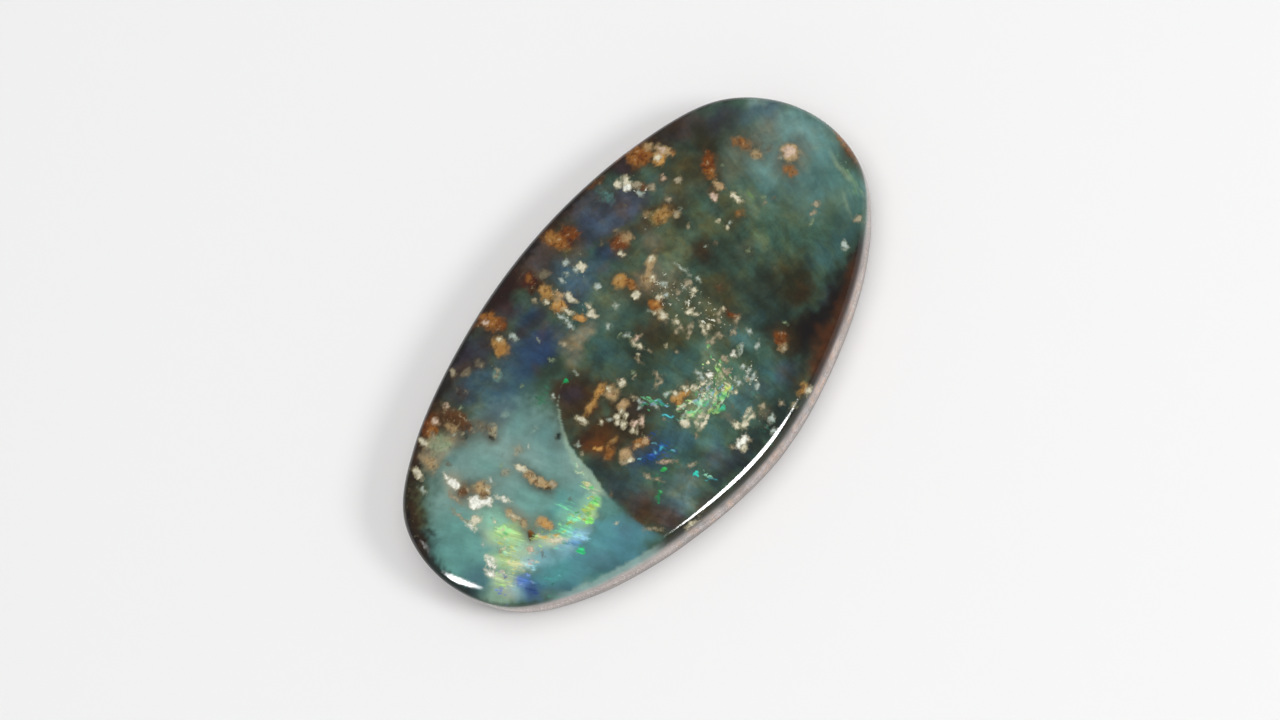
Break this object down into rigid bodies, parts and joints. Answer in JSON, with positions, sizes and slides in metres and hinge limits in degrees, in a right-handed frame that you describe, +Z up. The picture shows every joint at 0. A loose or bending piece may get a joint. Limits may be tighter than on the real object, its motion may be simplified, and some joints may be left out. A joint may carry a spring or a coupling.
{
  "type": "polished boulder opal cabochon",
  "caption": "Polished free-form boulder opal: a long low-domed oval stone with a rounded shoulder, a steep side wall and a flat back with a bevelled edge.",
  "frame": {"origin": "bottom centre of the stone's box, on its flat back", "axes": "+Z up out of the domed face, +X along the stone towards its blunter end, +Y across the stone"},
  "size_m": [0.0242, 0.0138, 0.0039],
  "materials": {
    "opal_in_ironstone": "high polish on the dome, shoulder and side wall; satin sawn back"
  },
  "bodies": {
    "root": {"boulder_opal": "opal_in_ironstone"}
  },
  "joints": []
}
